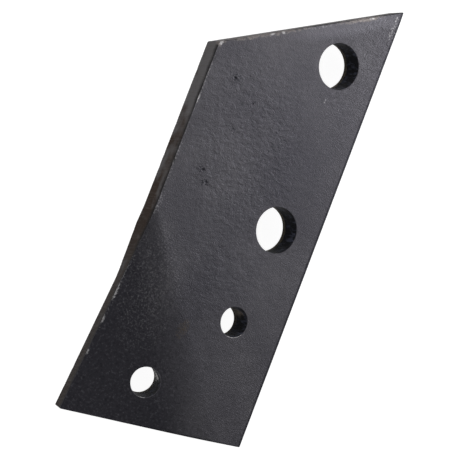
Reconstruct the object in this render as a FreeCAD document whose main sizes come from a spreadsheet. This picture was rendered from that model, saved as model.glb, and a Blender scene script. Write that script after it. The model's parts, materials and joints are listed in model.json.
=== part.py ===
import FreeCAD, Part
import Sketcher
import math
import os

from FreeCAD import Placement, Rotation, Vector

# Plough point: one length of flat steel bar, cut on the slant at both ends, drilled with four
# plain holes and bent back across its lower left corner, on a fold that opens out like a cone.
# It is drawn with the front face on XY, the middle big hole at the origin and Y along the bar,
# and is then laid down on its back, on the bent corner and the long right edge.

# Lengths in millimetres, angles in degrees
sizes = {
    "plateWidth": 80.0,
    "plateThickness": 12.0,
    "longEdgeLength": 203.0,
    "topSlant": 31.3,
    "bottomSlant": 9.0,
    "bigHoleDiameter": 20.0,
    "bigHoleSpacing": 76.0,
    "bigHoleInset": 21.6,
    "upperHoleToCorner": 35.2,
    "smallHoleDiameter": 13.0,
    "sideHoleInset": 25.0,
    "sideHoleDrop": 43.4,
    "cornerHoleAlongFold": 70.8,
    "cornerHoleAcrossFold": 15.2,
    "foldStartLength": 76.6,
    "foldTurn": 34.0,
    "bendAngle": 14.0,
    "foldLead": 5.0,
    "narrowBendRadius": 2.0,
    "wideBendRadius": 86.0,
    "cornerEdgeTurn": 35.6,
    "squaringDrop": 6.0,
    "squaringLength": 32.0,
    "endCutDraft": 2.0,
    "sideCutDraft": 4.0,
    "rolledEdgeRadius": 1.2,
    "cutEdgeRadius": 0.5,
}

doc = FreeCAD.newDocument("PloughPoint")
sheet = doc.addObject("Spreadsheet::Sheet", "Sizes")
for row, (name, size) in enumerate(sizes.items(), start=1):
    sheet.set(f"A{row}", name)
    sheet.set(f"B{row}", str(size))
    sheet.setAlias(f"B{row}", name)
doc.recompute()

# Places that several features share, as expressions over the sheet
rightX = "Sizes.bigHoleInset"
leftX = "(Sizes.bigHoleInset - Sizes.plateWidth)"
topY = "(Sizes.bigHoleSpacing + Sizes.upperHoleToCorner)"
bottomY = f"({topY} - Sizes.longEdgeLength)"
foldStartY = f"({topY} - Sizes.plateWidth * tan(Sizes.topSlant) - Sizes.foldStartLength)"
foldLength = (
    f"(({foldStartY} - {bottomY} + Sizes.plateWidth * tan(Sizes.bottomSlant))"
    " / (cos(Sizes.foldTurn) + sin(Sizes.foldTurn) * tan(Sizes.bottomSlant)))"
)
# The stock runs this far past the fold on every side before the outline is cut
stockReach = "(Sizes.plateWidth + Sizes.longEdgeLength)"

body = doc.addObject("PartDesign::Body", "PloughPoint")
body.Label = "plough_point"
originPlanes = {plane.Role: plane for plane in body.Origin.OriginFeatures}


def valueOf(expression):
    """The number that an expression over the sheet gives."""
    return float(sheet.evalExpression(expression))


def newSketch(name, plane, offset):
    """A sketch on one of the body's origin planes, moved by an offset expression."""
    sketch = body.newObject("Sketcher::SketchObject", name)
    sketch.AttachmentSupport = [(originPlanes[plane], "")]
    sketch.MapMode = "FlatFace"
    sketch.setExpression("AttachmentOffset", offset)
    return sketch


def offsetBy(x, y, z, turn="create(<<rotation>>; create(<<vector>>; 0; 0; 1); 0)"):
    return f"create(<<placement>>; create(<<vector>>; {x}; {y}; {z}); {turn})"


def turnAbout(x, y, z, angle):
    return f"create(<<rotation>>; create(<<vector>>; {x}; {y}; {z}); {angle})"


def dimension(sketch, name, constraint, expression):
    """A named dimension of a sketch, tied to the sheet."""
    index = sketch.addConstraint(constraint)
    sketch.renameConstraint(index, name)
    sketch.setExpression(f"Constraints.{name}", expression)


def polygon(sketch, points):
    """Joined straight lines through the points, closed. Returns the lines' numbers."""
    first = sketch.GeometryCount
    for start, end in zip(points, points[1:] + points[:1]):
        sketch.addGeometry(Part.LineSegment(start, end), False)
    lines = list(range(first, first + len(points)))
    for line, following in zip(lines, lines[1:] + lines[:1]):
        sketch.addConstraint(Sketcher.Constraint("Coincident", line, 2, following, 1))
    return lines


def place(sketch, name, line, x, y):
    """Dimensions the start of a line from the sketch's origin. Both are signed."""
    for axis, expression in (("X", x), ("Y", y)):
        constraint = Sketcher.Constraint(f"Distance{axis}", -1, 1, line, 1, valueOf(expression))
        dimension(sketch, f"{name}{axis}", constraint, expression)


def circle(sketch, name, x, y, diameter):
    """A circle whose centre and diameter follow the sheet."""
    ring = Part.Circle(Vector(valueOf(x), valueOf(y), 0), Vector(0, 0, 1), valueOf(diameter) / 2)
    index = sketch.addGeometry(ring, False)
    for axis, expression in (("X", x), ("Y", y)):
        constraint = Sketcher.Constraint(f"Distance{axis}", -1, 1, index, 3, valueOf(expression))
        dimension(sketch, f"{name}{axis}", constraint, expression)
    dimension(sketch, f"{name}Diameter",
              Sketcher.Constraint("Diameter", index, valueOf(diameter)), diameter)


# The bend's inner radius grows evenly along the fold, from a short lead above the left edge
radiusGrowth = f"((Sizes.wideBendRadius - Sizes.narrowBendRadius) / ({foldLength} + Sizes.foldLead))"


def bendStart(along):
    """How far from the fold the flat ends and the bend starts, on either side of it."""
    radius = f"Sizes.narrowBendRadius + {radiusGrowth} * ({along} + Sizes.foldLead)"
    return f"(({radius} + Sizes.plateThickness) * tan(Sizes.bendAngle / 2))"


def foldSection(name, along):
    """The bend's own section square to the fold, from the flat round to the bent corner.

    The sketch's origin is where the two front faces would meet without the bend.
    """
    offset = offsetBy(
        f"{leftX} + {along} * sin(Sizes.foldTurn)",
        "0",
        f"-({foldStartY} - {along} * cos(Sizes.foldTurn))",
        turnAbout(0, 1, 0, "Sizes.foldTurn"),
    )
    sketch = newSketch(name, "XZ_Plane", offset)
    bend = math.radians(valueOf("Sizes.bendAngle"))
    thickness = valueOf("Sizes.plateThickness")
    flatEnd = valueOf(bendStart(along))
    outer = flatEnd / math.tan(bend / 2)
    inner = outer - thickness
    centre = Vector(flatEnd, -outer, 0)
    up = Vector(0, 1, 0)
    out = Vector(-math.sin(bend), math.cos(bend), 0)

    def arc(radius):
        ring = Part.Circle(centre, Vector(0, 0, 1), radius)
        return Part.ArcOfCircle(ring, math.pi / 2, math.pi / 2 + bend)

    front, cornerSide, back, flatSide = range(4)
    sketch.addGeometry([
        arc(outer),
        Part.LineSegment(centre + out * outer, centre + out * inner),
        arc(inner),
        Part.LineSegment(centre + up * inner, centre + up * outer),
    ], False)
    sketch.addConstraint([
        Sketcher.Constraint("Coincident", front, 2, cornerSide, 1),
        Sketcher.Constraint("Coincident", cornerSide, 2, back, 2),
        Sketcher.Constraint("Coincident", back, 1, flatSide, 1),
        Sketcher.Constraint("Coincident", flatSide, 2, front, 1),
        Sketcher.Constraint("Coincident", front, 3, back, 3),
        Sketcher.Constraint("Vertical", flatSide),
        Sketcher.Constraint("PointOnObject", front, 1, -1),
        Sketcher.Constraint("PointOnObject", back, 3, flatSide),
        Sketcher.Constraint("PointOnObject", back, 3, cornerSide),
    ])
    dimension(sketch, "flatEnd",
              Sketcher.Constraint("DistanceX", -1, 1, front, 1, flatEnd), bendStart(along))
    dimension(sketch, "thickness",
              Sketcher.Constraint("Distance", flatSide, thickness), "Sizes.plateThickness")
    dimension(sketch, "outerRadius",
              Sketcher.Constraint("Radius", front, outer),
              f"{bendStart(along)} / tan(Sizes.bendAngle / 2)")
    dimension(sketch, "bendAngle",
              Sketcher.Constraint("Angle", flatSide, cornerSide, math.pi + bend),
              "180 + Sizes.bendAngle")
    return sketch


def padArea(name, offset, corners):
    """Thickens an area of a front face backwards by the plate's thickness."""
    sketch = newSketch(f"{name}Area", "XY_Plane", offset)
    points = [Vector(valueOf(x), valueOf(y), 0) for x, y in corners.values()]
    for line, (label, (x, y)) in zip(polygon(sketch, points), corners.items()):
        place(sketch, label, line, x, y)
    pad = body.newObject("PartDesign::Pad", name)
    pad.Profile = sketch
    pad.Reversed = True
    pad.setExpression("Length", "Sizes.plateThickness")
    doc.recompute()


# Both faces are drawn with X down the fold and Y from the corner's side to the flat's side.
# The corner's face is the flat's, turned back about the fold.
downFold = turnAbout(0, 0, 1, "Sizes.foldTurn - 90")
turnedBack = turnAbout("sin(Sizes.foldTurn)", "-cos(Sizes.foldTurn)", 0, "Sizes.bendAngle")
flatFace = offsetBy(leftX, foldStartY, 0, downFold)
cornerFace = offsetBy(leftX, foldStartY, 0, f"{turnedBack} * {downFold}")
foldTop = "-Sizes.foldLead"
foldEnd = stockReach

padArea("FlatStock", flatFace, {
    "lower": (foldEnd, bendStart(foldEnd)),
    "lowerFar": (foldEnd, f"2 * {stockReach}"),
    "upperFar": (f"-{stockReach}", f"2 * {stockReach}"),
    "upper": (f"-{stockReach}", bendStart(foldTop)),
    "foldTop": (foldTop, bendStart(foldTop)),
})

foldLoft = body.newObject("PartDesign::AdditiveLoft", "FoldStock")
foldLoft.Profile = foldSection("FoldTopSection", foldTop)
foldLoft.Sections = [foldSection("FoldEndSection", foldEnd)]
foldLoft.Ruled = True
doc.recompute()

padArea("CornerStock", cornerFace, {
    "lower": (foldEnd, f"-{bendStart(foldEnd)}"),
    "foldTop": (foldTop, f"-{bendStart(foldTop)}"),
    "upperFar": (foldTop, f"-2 * {stockReach}"),
    "lowerFar": (foldEnd, f"-2 * {stockReach}"),
})

# Each straight side is cut by a prism drawn in a section square to that side. In the section, X
# leads outwards from the side's front edge and Y forwards, and the cut leans in towards the back.
cutReach = f"(4 * {stockReach})"


def cutSection(name, offset, lean, reach=cutReach):
    sketch = newSketch(name, "XY_Plane", offset)
    corners = {
        "front": (f"{reach} * tan({lean})", reach),
        "back": (f"0 - {reach} * tan({lean})", f"0 - {reach}"),
        "farBack": (reach, f"0 - {reach}"),
        "farFront": (reach, reach),
    }
    points = [Vector(valueOf(x), valueOf(y), 0) for x, y in corners.values()]
    for line, (label, (x, y)) in zip(polygon(sketch, points), corners.items()):
        place(sketch, label, line, x, y)
    return sketch


def cutSide(name, section, way):
    """Cuts along the side from its section: up it, down it or both ways."""
    pocket = body.newObject("PartDesign::Pocket", name)
    pocket.Profile = section
    pocket.setExpression("Length", f"2 * {cutReach}")
    pocket.Reversed = way == "up"
    pocket.Midplane = way == "both"
    doc.recompute()
    return pocket


def squareTo(turn, base=""):
    """A section plane that stands up from the face, with X leading away at this turn."""
    return f"{base}{turnAbout(0, 0, 1, turn)} * {turnAbout(1, 0, 0, '90')}"


cutSide("RightEdge", cutSection(
    "RightEdgeSection", offsetBy(rightX, topY, 0, squareTo("0")), "0"), "both")
cutSide("TopCut", cutSection(
    "TopCutSection", offsetBy(rightX, topY, 0, squareTo("90 + Sizes.topSlant")),
    "Sizes.endCutDraft"), "both")
cutSide("BottomCut", cutSection(
    "BottomCutSection", offsetBy(rightX, bottomY, 0, squareTo("Sizes.bottomSlant - 90")),
    "Sizes.endCutDraft"), "both")

# The left side is square to the face it belongs to: above the fold to the flat, and well below
# it to the bent corner, with a twist between the two that starts where the bend has ended
leftSection = cutSection(
    "LeftEdgeSection",
    offsetBy(leftX, f"{foldStartY} - Sizes.squaringDrop", 0, squareTo("180")),
    "Sizes.sideCutDraft",
    stockReach,
)
alongCorner = "(Sizes.foldTurn - 90 - Sizes.cornerEdgeTurn)"
edgeX = (
    "(sin(Sizes.foldTurn) * cos(Sizes.cornerEdgeTurn)"
    " - cos(Sizes.foldTurn) * cos(Sizes.bendAngle) * sin(Sizes.cornerEdgeTurn))"
)
edgeY = (
    "(0 - cos(Sizes.foldTurn) * cos(Sizes.cornerEdgeTurn)"
    " - sin(Sizes.foldTurn) * cos(Sizes.bendAngle) * sin(Sizes.cornerEdgeTurn))"
)
edgeZ = "(0 - sin(Sizes.bendAngle) * sin(Sizes.cornerEdgeTurn))"
cornerSection = cutSection(
    "CornerEdgeSection",
    offsetBy(
        f"{leftX} + Sizes.squaringLength * {edgeX}",
        f"{foldStartY} + Sizes.squaringLength * {edgeY}",
        f"Sizes.squaringLength * {edgeZ}",
        squareTo(f"{alongCorner} - 90", f"{turnedBack} * "),
    ),
    "Sizes.sideCutDraft",
    stockReach,
)
twistedEdge = body.newObject("PartDesign::SubtractiveLoft", "TwistedEdge")
twistedEdge.Profile = leftSection
twistedEdge.Sections = [cornerSection]
twistedEdge.Ruled = True
doc.recompute()
cutSide("CornerEdge", cornerSection, "down")
leftEdge = cutSide("LeftEdge", leftSection, "up")


def isEndEdge(shape, edge):
    """Whether an edge bounds one of the two end cuts, which are the faces that look along Y."""
    middle = edge.valueAt((edge.FirstParameter + edge.LastParameter) / 2)
    faces = shape.ancestorsOfType(edge, Part.Face)
    return any(abs(face.normalAt(*face.Surface.parameter(middle)).y) > 0.7 for face in faces)


def roundEdges(name, base, choose, radius):
    """Rounds the edges of a feature that pass a test."""
    shape = base.Shape
    fillet = body.newObject("PartDesign::Fillet", name)
    fillet.Base = (base, [
        f"Edge{number}" for number, edge in enumerate(shape.Edges, start=1) if choose(shape, edge)
    ])
    fillet.setExpression("Radius", radius)
    doc.recompute()
    return fillet


# The bar's long right edges are round from rolling and the two end cuts are blunted. The left
# side is ground square and keeps its sharp edges.
rolledEdges = roundEdges(
    "RolledEdges",
    leftEdge,
    lambda shape, edge: all(
        abs(vertex.X - valueOf(rightX)) < 0.01 for vertex in edge.Vertexes
    ) and abs(edge.tangentAt(edge.FirstParameter).y) > 0.99,
    "Sizes.rolledEdgeRadius",
)
roundEdges("CutEnds", rolledEdges, isEndEdge, "Sizes.cutEdgeRadius")


def drill(name, sketch):
    """Plain holes right through, at the sketch's circles."""
    doc.recompute()
    hole = body.newObject("PartDesign::Pocket", name)
    hole.Profile = sketch
    hole.Type = "ThroughAll"
    doc.recompute()


bigCentres = newSketch("BigHoleCentres", "XY_Plane", offsetBy(0, 0, 0))
circle(bigCentres, "middle", "0", "0", "Sizes.bigHoleDiameter")
circle(bigCentres, "upper", "0", "Sizes.bigHoleSpacing", "Sizes.bigHoleDiameter")
drill("BigHoles", bigCentres)

sideCentre = newSketch("SideHoleCentre", "XY_Plane", offsetBy(0, 0, 0))
circle(sideCentre, "side", f"{rightX} - Sizes.sideHoleInset", "-Sizes.sideHoleDrop",
       "Sizes.smallHoleDiameter")
drill("SideHole", sideCentre)

cornerCentre = newSketch("CornerHoleCentre", "XY_Plane", cornerFace)
circle(cornerCentre, "corner", "Sizes.cornerHoleAlongFold", "-Sizes.cornerHoleAcrossFold",
       "Sizes.smallHoleDiameter")
drill("CornerHole", cornerCentre)

# Laid down: turned about Y until its lowest points on either side of its centre of mass, which
# are on the bent corner and the long right edge, are level, then moved so that the origin is
# under the middle of the part
doc.recompute()
points = body.Shape.tessellate(0.02)[0]
centreOfMass = body.Shape.Solids[0].CenterOfMass
leftPoints = [point for point in points if point.x < centreOfMass.x]
rightPoints = [point for point in points if point.x > centreOfMass.x]


def slope(left, right):
    return (right.z - left.z) / (right.x - left.x)


left = min(leftPoints, key=lambda point: point.z)
right = None
settled = False
while not settled:
    lastPair = (left, right)
    right = min(rightPoints, key=lambda point: slope(left, point))
    left = max(leftPoints, key=lambda point: slope(point, right))
    settled = (left, right) == lastPair
lean = math.degrees(math.atan(slope(left, right)))
laidDown = Rotation(Vector(0, 1, 0), lean)
turned = [laidDown.multVec(point) for point in points]
box = [(min(values), max(values)) for values in zip(*turned)]
body.Placement = Placement(
    Vector(-sum(box[0]) / 2, -sum(box[1]) / 2, -box[2][0]),
    laidDown,
)
doc.recompute()

for item in doc.Objects:
    if "Invalid" in item.State or "Error" in item.State:
        raise RuntimeError(f"{item.Name}: {item.State}")
if body.Shape.isNull() or not body.Shape.isValid() or len(body.Shape.Solids) != 1:
    raise RuntimeError(f"{body.Label} is not one sound solid")

os.makedirs("parts", exist_ok=True)
body.Shape.exportStep(f"parts/{body.Label}.step")
print(f"{body.Label}: {body.Shape.Volume:.0f} cubic millimetres, lean {lean:.2f}")
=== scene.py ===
import json
import math

import bmesh
import bpy
from mathutils import Matrix, Vector, noise


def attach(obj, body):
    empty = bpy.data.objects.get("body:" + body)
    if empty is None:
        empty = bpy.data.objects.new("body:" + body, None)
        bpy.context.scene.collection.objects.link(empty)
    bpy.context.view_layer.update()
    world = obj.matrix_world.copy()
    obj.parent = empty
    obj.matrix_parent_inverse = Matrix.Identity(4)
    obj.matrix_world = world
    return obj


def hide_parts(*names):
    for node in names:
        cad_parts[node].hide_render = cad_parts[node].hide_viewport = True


# Plough point lying on its back on a white ground: a dark rolled bar with one corner bent back.
# Shapes are worked in the plate's own frame, in millimetres: origin on the front face at the
# middle bolt hole, X towards the long straight edge, Y along the bar, Z out of the front face.

millimetre = 0.001
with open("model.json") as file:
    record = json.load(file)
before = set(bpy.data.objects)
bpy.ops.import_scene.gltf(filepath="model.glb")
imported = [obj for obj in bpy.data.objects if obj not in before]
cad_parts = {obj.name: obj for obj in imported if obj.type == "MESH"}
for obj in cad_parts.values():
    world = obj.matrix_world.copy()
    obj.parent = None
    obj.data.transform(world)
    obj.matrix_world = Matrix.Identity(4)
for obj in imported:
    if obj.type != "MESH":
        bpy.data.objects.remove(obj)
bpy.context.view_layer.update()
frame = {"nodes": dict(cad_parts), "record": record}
cadPlate = frame["nodes"]["plough_point"]
mounts = {mount["name"]: mount for mount in frame["record"]["mounts"]}


def findPlateFrame():
    # from the two big bolt holes, whose places are halfway through the plate
    middle = mounts["middle_bolt_hole"]
    upper = mounts["upper_bolt_hole"]
    start = Vector(middle["pos_m"])
    out = Vector(middle["axis"]).normalized()
    along = (Vector(upper["pos_m"]) - start).normalized()
    across = along.cross(out)
    place = Matrix((across, along, out)).transposed().to_4x4()
    place.translation = start + out * middle["dims"]["length_mm"] * (millimetre / 2)
    return place


plateToRow = findPlateFrame() @ Matrix.Scale(millimetre, 4)
rowToPlate = plateToRow.inverted()
print("plate frame found, leaning", round(math.degrees(plateToRow.to_euler().y), 2), "degrees")


# Nodes that the materials, the ground and the sky are made of

nodeSpacing = (250, 300)


def setSocket(tree, socket, value):
    # a number or colour is set on the socket itself, anything else is linked to it
    if isinstance(value, (int, float, tuple)):
        socket.default_value = value
    else:
        tree.links.new(value, socket)


def newNode(tree, kind, sockets, **settings):
    node = tree.nodes.new(kind)
    for name, value in settings.items():
        setattr(node, name, value)
    for name, value in sockets.items():
        setSocket(tree, node.inputs[name], value)
    return node


def emptyTree(block):
    block.use_nodes = True
    block.node_tree.nodes.clear()
    return block.node_tree


def arrangeNodes(tree):
    # every node stands in a column to the left of all that it feeds
    column = {node.name: 0 for node in tree.nodes}
    moved = True
    while moved:
        moved = False
        for link in tree.links:
            right = column[link.to_node.name]
            if column[link.from_node.name] <= right:
                column[link.from_node.name] = right + 1
                moved = True
    filled = {}
    for node in tree.nodes:
        left = column[node.name]
        filled[left] = filled.get(left, 0) + 1
        node.location = (-nodeSpacing[0] * left, -nodeSpacing[1] * filled[left])


def addMath(tree, operation, first, second):
    node = newNode(tree, "ShaderNodeMath", {0: first, 1: second}, operation=operation)
    return node.outputs[0]


def addRange(tree, value, span, result=(0, 1)):
    # the span of values turned into the span of results, and held at its ends
    sockets = {"Value": value, "From Min": span[0], "From Max": span[1],
               "To Min": result[0], "To Max": result[1]}
    return newNode(tree, "ShaderNodeMapRange", sockets).outputs["Result"]


def addMix(tree, share, first, second):
    sockets = {"Factor": share, "A": first, "B": second}
    return newNode(tree, "ShaderNodeMix", sockets, data_type="RGBA").outputs["Result"]


def addPart(tree, vector, axis):
    return newNode(tree, "ShaderNodeSeparateXYZ", {"Vector": vector}).outputs[axis]


def addTurn(tree, place, centre, size, turn):
    # coordinates counted from the centre, in sizes, and turned by so many degrees
    sockets = {"Vector": place, "Location": centre, "Scale": size,
               "Rotation": (0, 0, math.radians(turn))}
    return newNode(tree, "ShaderNodeMapping", sockets, vector_type="TEXTURE").outputs["Vector"]


def addNoise(tree, place, size, detail, rough=0.55, stretch=None, turn=0):
    # noise whose lumps are about size millimetres wide, or longer by each stretch
    if stretch:
        place = addTurn(tree, place, (0, 0, 0), stretch, turn)
    sockets = {"Vector": place, "Scale": 1 / size, "Detail": detail, "Roughness": rough}
    return newNode(tree, "ShaderNodeTexNoise", sockets).outputs["Fac"]


def addBump(tree, height, strength, distance, under=None):
    sockets = {"Height": height, "Strength": strength, "Distance": distance}
    if under:
        sockets["Normal"] = under
    return newNode(tree, "ShaderNodeBump", sockets).outputs["Normal"]


def addPlateCoordinates(tree):
    # object coordinates turned into the plate's own frame, in millimetres
    where = newNode(tree, "ShaderNodeTexCoord", {})
    place, spin, size = plateToRow.decompose()
    sockets = {"Vector": where.outputs["Object"], "Location": tuple(place),
               "Rotation": tuple(spin.to_euler()), "Scale": tuple(size)}
    return newNode(tree, "ShaderNodeMapping", sockets, vector_type="TEXTURE").outputs["Vector"]


def startMaterial(name):
    material = bpy.data.materials.new(name)
    tree = emptyTree(material)
    return material, tree, addPlateCoordinates(tree)


def finishMaterial(tree, sockets):
    shader = newNode(tree, "ShaderNodeBsdfPrincipled", sockets)
    newNode(tree, "ShaderNodeOutputMaterial", {"Surface": shader.outputs["BSDF"]})
    arrangeNodes(tree)


# Wear, and painted light and shade, on the plate

# centre, half size and turn of each patch
wearAndLightPatches = {
    "dusty": {
        "topEdge": ((-38, 75.6, 0), (25, 2.4, 6), 31.3),
        "topEdgeRight": ((2.5, 98.9, 0), (13, 1.3, 6), 31.3),
        "topCorner": ((-57.3, 63.2, 0), (2.2, 3.0, 5), 0),
    },
    "speckled": {
        "ridgeTop": ((-58.2, 45, 0), (0.9, 20, 4), 0),
        "ridgeMiddle": ((-58.2, 8, 0), (1.2, 26, 4), 0),
        "ridgeAtFold": ((-57.6, -10, 0), (1.7, 8, 4), 0),
        "ridgeOnCorner": ((-58.7, -46, -4.6), (1.2, 26, 11), 0),
        "rightCorner": ((18.9, 101, 0), (1.8, 9, 4), 0),
        "topEdgeFaint": ((-16, 87.9, 0), (16, 1.2, 4), 31.3),
        "underUpperHole": ((-0.4, 59.4, 0), (0.4, 2.4, 3), -7),
        "underUpperHoleToo": ((7.6, 58.5, 0), (0.4, 1.2, 3), 15),
        "lowerRight": ((19.8, -75.2, 0), (0.7, 1.6, 3), 10),
        "lowerMiddle": ((-5.5, -86.4, -1), (1.8, 0.6, 4), 15),
    },
    "frosted": {
        "belowFold": ((-50, -20, -0.5), (4.5, 5.5, 5), 30),
        "cornerFace": ((-46, -44, -3.5), (15, 30, 12), 12),
    },
    "scratched": {
        # bare metal along the ridge, partly a painted edge highlight
        "bareRidge": ((-58.8, -50.8, -5.2), (0.9, 4.4, 2.5), 0),
        "bareRidgeLow": ((-58.9, -62.9, -6.9), (0.8, 2.4, 2.5), 0),
        "bareRidgeEnd": ((-59.1, -78.2, -9), (0.8, 1.5, 2.5), 0),
        "ridgeSpark": ((-58.1, 37, 0), (0.4, 2.2, 3), 0),
        "topScuff": ((-41.7, 73.1, 0), (1.4, 0.9, 3), 31.3),
        "topScuffMiddle": ((-36.0, 75.8, 0), (1.7, 0.8, 3), 50),
        "topScuffRight": ((-31.2, 78.3, 0), (1.3, 0.7, 3), 15),
        "cornerScuff": ((-57.2, 62.4, 0), (0.8, 1.6, 3), -20),
        "rightCornerLong": ((18.8, 106.6, 0), (0.28, 1.7, 3), -6),
        "rightCornerShort": ((18.4, 98.3, 0), (0.22, 0.9, 3), -6),
        "topScuffFar": ((7.6, 101.9, 0), (1.9, 0.6, 3), 31.3),
    },
    # painted highlights: light arcs on the rounded rims of the side and corner holes
    "rimHighlight": {
        "sideHoleRim": ((-0.4, -50.2, -0.3), (5.4, 2.9, 1.5), 22),
        "cornerHoleRim": ((-31.0, -88.6, -4.7), (5.0, 1.9, 2.0), 8),
    },
    "pitted": {
        "pitsAbove": ((-45.0, 51.4, 0), (2.9, 3.0, 4), -20),
        "pitsBeside": ((-44.3, 10.4, 0), (3.2, 2.3, 4), 20),
        "pitsBelow": ((-41.0, 5.8, 0), (3.0, 2.2, 4), 20),
        "pitInFlakes": ((-32.6, 45.3, 0), (1.6, 0.9, 4), 40),
        "pitLow": ((-37.5, 31, 0), (1.3, 1.8, 4), 0),
    },
    # painted shade along the rounded right edge; darker along the lower end
    "darkened": {
        "rightEdgeShade": ((21.7, 10, 0), (2.1, 300, 5), 0),
        "lowerEnd": ((-18.4, -98.3, -4), (60, 1.2, 16), 9),
    },
    # painted shade: darker patches along the fold and beside the middle hole
    "paintedShade": {
        "alongFold": ((-25, -41, 0), (14, 38, 14), -14),
        "besideMiddleHole": ((-2, 22, 0), (32, 46, 12), 0),
    },
    # painted highlight: a lighter band under the upper end
    "paintedSheen": {
        "topBand": ((-2, 94.5, 0), (36, 5.5, 6), 31.3),
    },
    "rusty": {
        "besideSideHole": ((-25.5, -54.4, -0.5), (2.7, 5.2, 4), -10),
    },
    "flaked": {
        "middle": ((-30, 27, 0), (34, 52, 30), 24),
        "upperRight": ((10, 84, 21), (30, 50, 30), -10),
        "besideFold": ((-20, -26, 19), (36, 40, 30), 0),
    },
    "glinting": {
        "cornerHoleWall": ((-24.3, -76.4, -9.6), (2.4, 3.0, 4.2), 0),
    },
    # painted highlight, brownish, on the side hole's wall
    "brownHighlight": {
        "sideHoleWall": ((1.0, -38.6, -7.2), (2.6, 2.4, 5.0), 0),
    },
}
wearAndLightColor = {
    # the tint of the painted shade
    "shadeTint": (0.0535, 0.052, 0.0625, 1),
    # light flecks of the scale; also the colour of the painted highlight
    "fleckAndSheen": (0.17, 0.166, 0.188, 1),
    "dust": (0.255, 0.23, 0.219, 1),
    # bare metal; also the colour of the painted highlights on the hole rims and along the ridge
    "bare": (0.55, 0.54, 0.55, 1),
    # pits and dark specks; also the colour of the painted shade on the right edge
    "pitAndShade": (0.016, 0.0157, 0.021, 1),
    "rust": (0.1, 0.078, 0.052, 1),
    # the colour of the painted brownish highlight
    "brownHighlightTint": (0.22, 0.185, 0.155, 1),
    "glint": (0.7, 0.69, 0.68, 1),
}
# films cover their patches evenly: how far in they are full, the most they cover, the colour
filmLook = {
    # painted shade along the fold and beside the middle hole
    "paintedShade": (0.7, 0.5, "shadeTint"),
    # painted highlight under the upper end
    "paintedSheen": (0.5, 0.4, "fleckAndSheen"),
    # painted shade along the rounded right edge, and darker along the lower end
    "darkened": (0.5, 0.92, "pitAndShade"),
}
# marks on each surface, in the order they are laid on: the noise that shapes them, how strongly
# a patch draws them together, the noise at which they start and are full, the most they cover,
# and their colour
markLook = {
    "rolledSteel": {
        "pitted": ("fine", 0.25, (0.6, 0.74), 0.7, "pitAndShade"),
        "rusty": ("fine", 0.2, (0.48, 0.75), 0.55, "rust"),
        "dusty": ("lumps", 0.4, (0.5, 0.78), 0.8, "dust"),
        "speckled": ("fine", 0.2, (0.62, 0.78), 0.3, "bare"),
        "frosted": ("fine", 0.1, (0.56, 0.76), 0.15, "bare"),
        "scratched": ("fine", 0.4, (0.5, 0.75), 0.75, "bare"),
    },
    "cutSteel": {
        "dusty": ("uneven", 0.5, (0.45, 0.95), 0.8, "dust"),
    },
    "boreSteel": {
        # painted brownish highlight on the side hole's wall
        "brownHighlight": ("streaks", 0.5, (0.5, 0.9), 0.9, "brownHighlightTint"),
        "glinting": ("streaks", 0.5, (0.5, 0.8), 0.9, "glint"),
    },
    "wornEdge": {
        "dusty": ("nicks", 0.5, (0.42, 0.7), 0.8, "dust"),
        "speckled": ("fine", 0.2, (0.6, 0.74), 0.4, "bare"),
        "scratched": ("fine", 0.4, (0.5, 0.7), 0.9, "bare"),
        # painted highlights on the hole rims
        "rimHighlight": ("fine", 0.5, (0.5, 0.7), 0.8, "bare"),
    },
}
patchFade = (0, 0.12)  # how far in from a patch's outline its marks fade in


def addPatches(tree, place, kind):
    # 1 in the middle of each patch of that kind, falling to 0 at its outline
    total = None
    for centre, size, turn in wearAndLightPatches[kind].values():
        sockets = {"Vector": addTurn(tree, place, centre, size, turn)}
        fade = newNode(tree, "ShaderNodeTexGradient", sockets, gradient_type="SPHERICAL")
        patch = fade.outputs["Fac"]
        total = addMath(tree, "MAXIMUM", total, patch) if total else patch
    return total


def addFilm(tree, place, color, kind):
    full, most, tint = filmLook[kind]
    share = addRange(tree, addPatches(tree, place, kind), (0, full), (0, most))
    return addMix(tree, share, color, wearAndLightColor[tint])


def addMarks(tree, place, color, surface, noises):
    # marks close up towards the middle of their patch
    for kind, (name, pull, span, most, tint) in markLook[surface].items():
        patch = addPatches(tree, place, kind)
        raised = addMath(tree, "ADD", noises[name], addMath(tree, "MULTIPLY", patch, pull))
        share = addRange(tree, raised, span, (0, most))
        share = addMath(tree, "MULTIPLY", share, addRange(tree, patch, patchFade))
        color = addMix(tree, share, color, wearAndLightColor[tint])
    return color


# The materials

# where the fold starts at the left edge, the way it runs and how far it bends, in degrees
foldLine = {"start": (-58.4, -14.04, 0), "turn": 34.0, "bend": 14.0}
steelLook = {
    "coatColor": (0.096, 0.093, 0.103, 1),
    "coatDark": (0.078, 0.0755, 0.086, 1),
    # painted shade of the bent corner
    "coatShaded": (0.04, 0.039, 0.0475, 1),
    "grazingTint": (0.3, 0.3, 0.34, 1),
    "metallic": 0.85,
    "roughness": 0.42,
    "shadeSize": 30,
    "cornerShadeFrom": (-3, 12),  # millimetres past the fold
    "cornerShadeMost": 0.88,
    "speckSize": 1.1,
    "speckFrom": (-5, 4),  # millimetres past the fold
    "speckElsewhere": 0.3,
    "lightSpecks": 0.38,
    "darkSpecks": 0.5,
    "fineSize": 0.8,
    "lumpSize": 1.9,
    "lumpShare": 2.5,
    "flakeSize": 3.4,
    "flakeStretch": (1.6, 1, 1),
    "flakeTurn": 24,
    "flakeHeight": 0.000038,
    "flakeElsewhere": 0.25,
    "grainSize": 0.42,
    "grainStrength": 0.7,
    "grainHeight": 0.00014,
}
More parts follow.
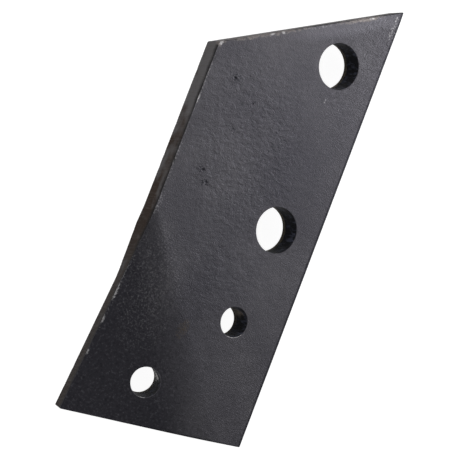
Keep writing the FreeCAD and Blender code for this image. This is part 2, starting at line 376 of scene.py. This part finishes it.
cutLook = {
    "groundColor": (0.108, 0.103, 0.106, 1),
    "brownColor": (0.037, 0.0265, 0.0215, 1),
    # the colour of the painted shade on the cut sides
    "sideShadeColor": (0.011, 0.0105, 0.011, 1),
    "lineColor": (0.09, 0.08, 0.074, 1),
    "gloss": 0.014,
    "shadeSize": 11,
    # partly painted shade: the side darkens down the bar
    "brownFrom": (60, -20),  # millimetres up the bar
    "lineWidth": 0.7,
    "lineTurn": 40,
    "lineStretch": (0.2, 1, 0.1),
    "lineMost": 0.55,
    "lineHeight": 0.0002,
    # painted shade: depth and strength of the dark band beside the front face
    "shadeBandDepth": 3.4,
    "shadeBandMost": 0.92,
    "unevenSize": 5,
    "unevenDepth": 0.7,
    # painted shade on the side of the bent corner
    "darkFrom": (-6, 26),  # millimetres past the fold
    "darkMost": 0.5,
}
boreLook = {
    # near black: painted shade inside the holes
    "wallShadeColor": (0.0034, 0.0035, 0.0054, 1),
    "streakColor": (0.036, 0.039, 0.056, 1),
    "brownColor": (0.13, 0.112, 0.085, 1),
    "gloss": 0.012,
    "roughness": 0.5,
    "shadeSize": 3,
    "brownFrom": (-8, -10.5),  # millimetres under the front face
    "streakSize": 1.6,
    "streakStretch": (1, 1, 3.5),
    "ringSize": 0.5,
    "ringStretch": (6, 6, 0.4),
    "ringHeight": 0.0002,
}
edgeLook = {"fineSize": 1.0, "nickSize": 3.5, "bareMost": 0.6}


def addPastFold(tree, place):
    # millimetres past the fold, into the bent corner
    turn = 180 + foldLine["turn"]
    return addPart(tree, addTurn(tree, place, foldLine["start"], (1, 1, 1), turn), "X")


def addHeight(tree, place, past):
    # height from the front face in millimetres, on the bent corner too
    slope = math.tan(math.radians(foldLine["bend"]))
    fallen = addMath(tree, "MULTIPLY", addMath(tree, "MAXIMUM", past, 0), slope)
    return addMath(tree, "ADD", addPart(tree, place, "Z"), fallen)


def makeRolledSteel():
    # thin dark coat over rolled scale: flaky in the middle, speckled on the bent corner; painted
    # shade over the bent corner, along the fold, beside the middle hole and along the right
    # edge, and a painted highlight under the upper end
    material, tree, place = startMaterial("rolledSteel")
    past = addPastFold(tree, place)
    fine = addNoise(tree, place, steelLook["fineSize"], 2)
    lumps = addNoise(tree, place, steelLook["lumpSize"], 3)

    shade = addRange(tree, addNoise(tree, place, steelLook["shadeSize"], 2), (0.35, 0.65))
    color = addMix(tree, shade, steelLook["coatDark"], steelLook["coatColor"])
    # painted shade along the fold and beside the middle hole
    color = addFilm(tree, place, color, "paintedShade")
    # painted highlight: a lighter band under the upper end
    color = addFilm(tree, place, color, "paintedSheen")
    # painted shade: the coat darkens over the bent corner
    cornerShade = addRange(tree, past, steelLook["cornerShadeFrom"], (0, steelLook["cornerShadeMost"]))
    color = addMix(tree, cornerShade, color, steelLook["coatShaded"])

    specks = addNoise(tree, place, steelLook["speckSize"], 3, rough=0.65)
    corner = addRange(tree, past, steelLook["speckFrom"], (steelLook["speckElsewhere"], 1))
    light = addRange(tree, specks, (0.54, 0.7), (0, steelLook["lightSpecks"]))
    dark = addRange(tree, specks, (0.45, 0.3), (0, steelLook["darkSpecks"]))
    color = addMix(tree, addMath(tree, "MULTIPLY", light, corner), color, wearAndLightColor["fleckAndSheen"])
    color = addMix(tree, addMath(tree, "MULTIPLY", dark, corner), color, wearAndLightColor["pitAndShade"])
    # painted shade along the rounded right edge, and darker along the lower end
    color = addFilm(tree, place, color, "darkened")
    color = addMarks(tree, place, color, "rolledSteel", {"fine": fine, "lumps": lumps})

    # flakes are two steps of one noise, over the lumps
    flakes = addNoise(tree, place, steelLook["flakeSize"], 3, rough=0.6,
                      stretch=steelLook["flakeStretch"], turn=steelLook["flakeTurn"])
    steps = addMath(tree, "ADD", addRange(tree, flakes, (0.45, 0.475)),
                    addRange(tree, flakes, (0.555, 0.58)))
    height = addMath(tree, "ADD", steps,
                     addMath(tree, "MULTIPLY", lumps, steelLook["lumpShare"]))
    flaked = addRange(tree, addPatches(tree, place, "flaked"), (0.05, 0.5),
                      (steelLook["flakeElsewhere"], 1))
    height = addMath(tree, "MULTIPLY", height, flaked)
    flaky = addBump(tree, height, 1, steelLook["flakeHeight"])
    grain = addNoise(tree, place, steelLook["grainSize"], 2)
    normal = addBump(tree, grain, steelLook["grainStrength"], steelLook["grainHeight"],
                     under=flaky)
    rough = addRange(tree, lumps, (0.3, 0.7),
                     (steelLook["roughness"] - 0.05, steelLook["roughness"] + 0.06))
    finishMaterial(tree, {"Base Color": color, "Metallic": steelLook["metallic"],
                          "Roughness": rough, "Normal": normal,
                          "Specular Tint": steelLook["grazingTint"]})
    return material


def makeCutSteel():
    # sheared and ground sides: dark beside the front face and on the bent corner, both painted
    # shade; brown towards the bent corner, its darkening down the bar painted shade
    material, tree, place = startMaterial("cutSteel")
    past = addPastFold(tree, place)
    broad = addNoise(tree, place, cutLook["shadeSize"], 3)
    uneven = addNoise(tree, place, cutLook["unevenSize"], 2)
    sockets = {"Vector": place, "Scale": cutLook["lineStretch"],
               "Rotation": (math.radians(cutLook["lineTurn"]), 0, 0)}
    along = newNode(tree, "ShaderNodeMapping", sockets).outputs["Vector"]
    lines = addNoise(tree, along, cutLook["lineWidth"], 3)

    # browner and darker towards the lower end: the brown is the side's own tone, the darkening
    # down the bar is painted shade
    down = addRange(tree, addPart(tree, place, "Y"), cutLook["brownFrom"], (-0.22, 0.18))
    brown = addRange(tree, addMath(tree, "ADD", broad, down), (0.4, 0.62))
    color = addMix(tree, brown, cutLook["groundColor"], cutLook["brownColor"])
    line = addRange(tree, lines, (0.5, 0.72), (0, cutLook["lineMost"]))
    color = addMix(tree, line, color, cutLook["lineColor"])
    # painted shade: the side of the bent corner, which faces the ground, is darker
    dark = addRange(tree, past, cutLook["darkFrom"], (0, cutLook["darkMost"]))
    color = addMix(tree, dark, color, cutLook["sideShadeColor"])

    depth = cutLook["unevenDepth"]
    ragged = addMath(tree, "ADD", addHeight(tree, place, past),
                     addRange(tree, uneven, (0.3, 0.7), (-depth, depth)))
    # painted shade: a dark band on the side beside the front face
    shadeBand = addRange(tree, ragged, (-cutLook["shadeBandDepth"], -depth),
                       (0, cutLook["shadeBandMost"]))
    color = addMix(tree, shadeBand, color, cutLook["sideShadeColor"])
    color = addMarks(tree, place, color, "cutSteel", {"uneven": uneven})
    rough = addRange(tree, lines, (0.3, 0.7), (0.62, 0.5))
    normal = addBump(tree, lines, 0.5, cutLook["lineHeight"])
    finishMaterial(tree, {"Base Color": color, "Metallic": 0, "Roughness": rough,
                          "Normal": normal, "Specular IOR Level": cutLook["gloss"]})
    return material


def makeBoreSteel():
    # drilled walls: near black as painted shade, with duller streaks, brown towards the back of
    # the plate; a painted glint on the corner hole's wall and a painted brownish highlight on
    # the side hole's wall
    material, tree, place = startMaterial("boreSteel")
    past = addPastFold(tree, place)
    broad = addNoise(tree, place, boreLook["shadeSize"], 3)
    streaks = addNoise(tree, place, boreLook["streakSize"], 3, stretch=boreLook["streakStretch"])
    rings = addNoise(tree, place, boreLook["ringSize"], 3, stretch=boreLook["ringStretch"])

    streak = addRange(tree, streaks, (0.5, 0.66))
    color = addMix(tree, streak, boreLook["wallShadeColor"], boreLook["streakColor"])
    deep = addRange(tree, addHeight(tree, place, past), boreLook["brownFrom"], (-0.4, 0.35))
    brown = addRange(tree, addMath(tree, "ADD", deep, broad), (0.5, 0.8))
    color = addMix(tree, brown, color, boreLook["brownColor"])
    color = addMarks(tree, place, color, "boreSteel", {"streaks": streaks})
    normal = addBump(tree, rings, 0.5, boreLook["ringHeight"])
    finishMaterial(tree, {"Base Color": color, "Metallic": 0,
                          "Roughness": boreLook["roughness"], "Normal": normal,
                          "Specular IOR Level": boreLook["gloss"]})
    return material


def makeWornEdge():
    # blunted edges and rims: dusty or bare where the patches are, dark elsewhere; painted
    # highlights on the side and corner hole rims, and the bare ridge partly a painted highlight
    material, tree, place = startMaterial("wornEdge")
    fine = addNoise(tree, place, edgeLook["fineSize"], 3)
    nicks = addNoise(tree, place, edgeLook["nickSize"], 4, rough=0.65)
    bare = addRange(tree, nicks, (0.62, 0.85), (0, edgeLook["bareMost"]))
    color = addMix(tree, bare, steelLook["coatDark"], wearAndLightColor["bare"])
    color = addMarks(tree, place, color, "wornEdge", {"fine": fine, "nicks": nicks})
    finishMaterial(tree, {"Base Color": color, "Metallic": steelLook["metallic"],
                          "Roughness": steelLook["roughness"],
                          "Specular Tint": steelLook["grazingTint"]})
    return material


plateMaterials = [makeRolledSteel(), makeCutSteel(), makeBoreSteel(), makeWornEdge()]
rolled, cut, bored, worn = range(4)  # their places in that list
print("materials made:", ", ".join(material.name for material in plateMaterials))


# The plate

# lengths in millimetres and angles in degrees
plateShape = {
    "weldReach": 0.001,
    "flatAngle": 0.3,
    "sharpAngle": 40,
    "rimRadius": 0.5,
    "wearRadius": 0.22,
    "bevelSteps": 3,
    "smoothAngle": 35,
    "boreMargin": 0.6,
    "cellSize": 1.0,
    "cellSnap": 0.02,
    "waviness": 0.05,
    "wavinessLength": 24.0,
    "lumpHeight": 0.035,
    "lumpLength": 3.2,
    "nickDepth": 0.5,
    "nickLength": 3.5,
    "nickStart": 0.2,
    "drawnDownWidth": 6.0,
    "drawnDownDepth": 0.3,
    "drawnDownUnder": 1.0,
    "pits": [(-45.4, 51.3, 0.9, 0.25), (-43.9, 10.1, 0.8, 0.2), (-40.5, 6.0, 0.8, 0.2)],
}
# how far a face's normal turns to an axis, which tells walls, sides and rolled faces apart
faceTurn = {"boreWall": 0.5, "rolledFace": 0.75, "leftSide": -0.5, "endCut": 0.5}
# the upper end's line on the front face: its right corner and the way in from it
upperEnd = {"corner": Vector((21.6, 111.2, 0)), "inwards": Vector((0.5195, -0.8545, 0))}
nickPattern = Vector((50, 0, 0))  # takes the nicks from another part of the noise


def findBoreLines():
    # middle, axis and radius of each bolt hole
    lines = []
    for mount in mounts.values():
        if mount["kind"] == "bore":
            middle = rowToPlate @ Vector(mount["pos_m"])
            axis = (rowToPlate.to_3x3() @ Vector(mount["axis"])).normalized()
            lines.append((middle, axis, mount["dims"]["r_mm"]))
    return lines


boreLines = findBoreLines()


def boreAxisAt(point):
    # the axis of the bolt hole that the point lies in or beside, or None
    for middle, axis, radius in boreLines:
        away = point - middle
        radial = away - axis * away.dot(axis)
        if radial.length < radius + plateShape["boreMargin"]:
            return axis
    return None


def edgeMiddle(edge):
    return (edge.verts[0].co + edge.verts[1].co) / 2


def sortFaces(shape):
    # walls of the holes, then the cut sides, then the rolled faces and edge
    for face in shape.faces:
        normal = face.normal
        axis = boreAxisAt(face.calc_center_median())
        onSide = normal.x < faceTurn["leftSide"] or abs(normal.y) > faceTurn["endCut"]
        if axis is not None and abs(normal.dot(axis)) < faceTurn["boreWall"]:
            face.material_index = bored
        elif onSide and abs(normal.z) < faceTurn["rolledFace"]:
            face.material_index = cut
        else:
            face.material_index = rolled


def wearEdges(shape):
    # blunts every sharp edge, the holes' rims more; the faces of it are marked
    mark = shape.faces.layers.int.new("blunted")
    sharpAngle = math.radians(plateShape["sharpAngle"])
    for radius, onRims in ((plateShape["rimRadius"], True), (plateShape["wearRadius"], False)):
        sharp = [edge for edge in shape.edges if edge.calc_face_angle(0) > sharpAngle
                 and (boreAxisAt(edgeMiddle(edge)) is not None) == onRims]
        done = bmesh.ops.bevel(shape, geom=sharp, offset=radius, profile=0.5, affect="EDGES",
                               segments=plateShape["bevelSteps"], material=-1,
                               clamp_overlap=True)
        for face in done["faces"]:
            face[mark] = 1
            face.material_index = worn


def cutCells(shape):
    # cuts every face along a grid, so that the surface can be given its relief
    low = [min(vert.co[axis] for vert in shape.verts) for axis in range(3)]
    high = [max(vert.co[axis] for vert in shape.verts) for axis in range(3)]
    step = plateShape["cellSize"]
    for axis in (1, 0, 2):
        direction = Vector((0, 0, 0))
        direction[axis] = 1
        for count in range(1, int((high[axis] - low[axis]) / step) + 1):
            point = direction * (low[axis] + count * step)
            everything = shape.verts[:] + shape.edges[:] + shape.faces[:]
            bmesh.ops.bisect_plane(shape, geom=everything, dist=plateShape["cellSnap"],
                                   plane_co=point, plane_no=direction)


def dent(shape):
    # round pits, on a finer mesh of their own
    for x, y, radius, depth in plateShape["pits"]:
        centre = Vector((x, y, 0))
        close = [edge for edge in shape.edges
                 if (edgeMiddle(edge) - centre).length < radius * 2]
        bmesh.ops.subdivide_edges(shape, edges=close, cuts=2, use_grid_fill=True)
        for vert in shape.verts:
            away = (vert.co - centre).length / radius
            if away < 1:
                vert.co.z -= depth * (1 - away * away) ** 2


def drawnDown(place):
    # how far the shear drew the front face down along the upper end
    if place.z <= -plateShape["drawnDownUnder"]:
        return 0
    away = (place - upperEnd["corner"]).dot(upperEnd["inwards"])
    share = max(0, 1 - away / plateShape["drawnDownWidth"])
    return share * share * plateShape["drawnDownDepth"]


def roughen(shape):
    # waves and lumps of the rolled surface, and nicks along the edges, always inwards
    shape.normal_update()
    moves = []
    for vert in shape.verts:
        place = vert.co
        wave = noise.noise(place / plateShape["wavinessLength"]) * 0.5 + 0.5
        lump = noise.noise(place / plateShape["lumpLength"]) * 0.5 + 0.5
        depth = wave * plateShape["waviness"] + lump * plateShape["lumpHeight"]
        onEdge = any(face.material_index == worn for face in vert.link_faces)
        if onEdge and boreAxisAt(place) is None:
            nick = noise.noise(place / plateShape["nickLength"] + nickPattern)
            depth += max(0, nick - plateShape["nickStart"]) * plateShape["nickDepth"]
        move = vert.normal * depth
        move.z += drawnDown(place)
        moves.append(move)
    for vert, move in zip(shape.verts, moves):
        vert.co -= move


def shadeEdges(shape):
    # smooth, but for the sharp corners and where one finish meets another
    smoothAngle = math.radians(plateShape["smoothAngle"])
    mark = shape.faces.layers.int["blunted"]
    for face in shape.faces:
        face.smooth = True
    for edge in shape.edges:
        kinds = {(face.material_index, face[mark]) for face in edge.link_faces}
        edge.smooth = len(kinds) == 1 and edge.calc_face_angle(0) < smoothAngle


def makePlate():
    shape = bmesh.new()
    shape.from_mesh(cadPlate.data)
    bmesh.ops.transform(shape, matrix=rowToPlate, verts=shape.verts)
    bmesh.ops.remove_doubles(shape, verts=shape.verts, dist=plateShape["weldReach"])
    flatAngle = math.radians(plateShape["flatAngle"])
    bmesh.ops.dissolve_limit(shape, angle_limit=flatAngle, verts=shape.verts,
                             edges=shape.edges)
    sortFaces(shape)
    wearEdges(shape)
    print("edges blunted,", len(shape.faces), "faces")
    cutCells(shape)
    print("cells cut,", len(shape.faces), "faces")
    dent(shape)
    roughen(shape)
    bmesh.ops.triangulate(shape, faces=[face for face in shape.faces if len(face.verts) > 4])
    shape.normal_update()
    shadeEdges(shape)
    bmesh.ops.transform(shape, matrix=plateToRow, verts=shape.verts)
    mesh = bpy.data.meshes.new("ploughPlate")
    shape.to_mesh(mesh)
    shape.free()
    for material in plateMaterials:
        mesh.materials.append(material)
    plate = bpy.data.objects.new("ploughPlate", mesh)
    bpy.context.scene.collection.objects.link(plate)
    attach(plate, "root")
    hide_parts("plough_point")
    print("plate made,", len(mesh.polygons), "faces")


makePlate()


# The ground, the light and the camera

ground = {"size": 6.0, "color": (0.3, 0.3, 0.3, 1), "whiteness": 0.94}
lights = {
    "sky": 0.13,
    # place, size and power of each soft lamp, all turned to the plate
    "lamps": {
        "keySoftbox": ((0.767, 0.443, 0.46), (0.5, 0.5), 5.5),
        "topSoftbox": ((0.05, 0, 1), (0.5, 0.5), 0.3),
        "leftSoftbox": ((-0.85, 0.2, 0.45), (0.5, 0.5), 2.1),
        "farFill": ((-0.5, 0.64, 0.5), (0.7, 0.7), 2.3),
        "nearFill": ((-0.5, -0.64, 0.5), (0.7, 0.7), 2.3),
        "footFill": ((0.5, -0.8, 0.25), (0.7, 0.7), 1.9),
        "rearStrip": ((-0.05, 0.95, 0.2), (0.9, 0.3), 1.8),
    },
}
# place in millimetres and turn in degrees, both in the plate's frame
photoCamera = {
    "place": (-515.888, -119.392, 878.796),
    "turn": (-5.6689, -29.4516, 24.1239),
    "focalPixels": 2400.0,
    "photoPixels": 458.0,
    "sensorWidth": 36,
}


def makeGround():
    # matt, and near white where the camera, a gloss or a glass sees it
    shape = bmesh.new()
    bmesh.ops.create_grid(shape, x_segments=1, y_segments=1, size=ground["size"] / 2)
    mesh = bpy.data.meshes.new("ground")
    shape.to_mesh(mesh)
    shape.free()
    floor = bpy.data.objects.new("ground", mesh)
    bpy.context.scene.collection.objects.link(floor)
    material = bpy.data.materials.new("whiteGround")
    tree = emptyTree(material)
    rays = newNode(tree, "ShaderNodeLightPath", {}).outputs
    seen = addMath(tree, "MAXIMUM", rays["Is Camera Ray"], rays["Is Glossy Ray"])
    seen = addMath(tree, "MAXIMUM", seen, rays["Is Transmission Ray"])
    strength = addMath(tree, "MULTIPLY", seen, ground["whiteness"])
    matt = newNode(tree, "ShaderNodeBsdfDiffuse", {"Color": ground["color"]})
    glow = newNode(tree, "ShaderNodeEmission", {"Strength": strength})
    both = newNode(tree, "ShaderNodeAddShader", {0: matt.outputs[0], 1: glow.outputs[0]})
    newNode(tree, "ShaderNodeOutputMaterial", {"Surface": both.outputs[0]})
    arrangeNodes(tree)
    mesh.materials.append(material)
    print("ground made")


def makeSky():
    # dim on the plate, white to the camera
    world = bpy.data.worlds.new("studio")
    bpy.context.scene.world = world
    tree = emptyTree(world)
    white = (1, 1, 1, 1)
    rays = newNode(tree, "ShaderNodeLightPath", {}).outputs
    dim = newNode(tree, "ShaderNodeBackground", {"Color": white, "Strength": lights["sky"]})
    plain = newNode(tree, "ShaderNodeBackground", {"Color": white})
    sockets = {0: rays["Is Camera Ray"], 1: dim.outputs[0], 2: plain.outputs[0]}
    mixed = newNode(tree, "ShaderNodeMixShader", sockets)
    newNode(tree, "ShaderNodeOutputWorld", {"Surface": mixed.outputs[0]})
    arrangeNodes(tree)


def makeLamps():
    for name, (place, size, power) in lights["lamps"].items():
        lamp = bpy.data.lights.new(name, "AREA")
        lamp.shape = "RECTANGLE"
        lamp.size, lamp.size_y = size
        lamp.energy = power
        holder = bpy.data.objects.new(name, lamp)
        holder.location = place
        holder.rotation_euler = (-Vector(place)).to_track_quat("-Z", "Y").to_euler()
        bpy.context.scene.collection.objects.link(holder)
    print("lamps placed:", len(lights["lamps"]))


def makeCamera():
    lens = bpy.data.cameras.new("photoCamera")
    lens.sensor_fit = "HORIZONTAL"
    lens.sensor_width = photoCamera["sensorWidth"]
    lens.lens = lens.sensor_width * photoCamera["focalPixels"] / photoCamera["photoPixels"]
    lens.clip_start = 0.01
    camera = bpy.data.objects.new("photoCamera", lens)
    turn = Matrix.Identity(4)
    for axis, angle in reversed(list(zip("XYZ", photoCamera["turn"]))):
        turn = turn @ Matrix.Rotation(math.radians(angle), 4, axis)
    inPlate = Matrix.Translation(photoCamera["place"]) @ turn
    camera.location, spin = (plateToRow @ inPlate).decompose()[:2]
    camera.rotation_euler = spin.to_euler()
    bpy.context.scene.collection.objects.link(camera)
    bpy.context.scene.camera = camera
    print("camera at", [round(value, 4) for value in camera.location])


makeGround()
makeSky()
makeLamps()
makeCamera()
bpy.context.scene.view_settings.view_transform = "Standard"
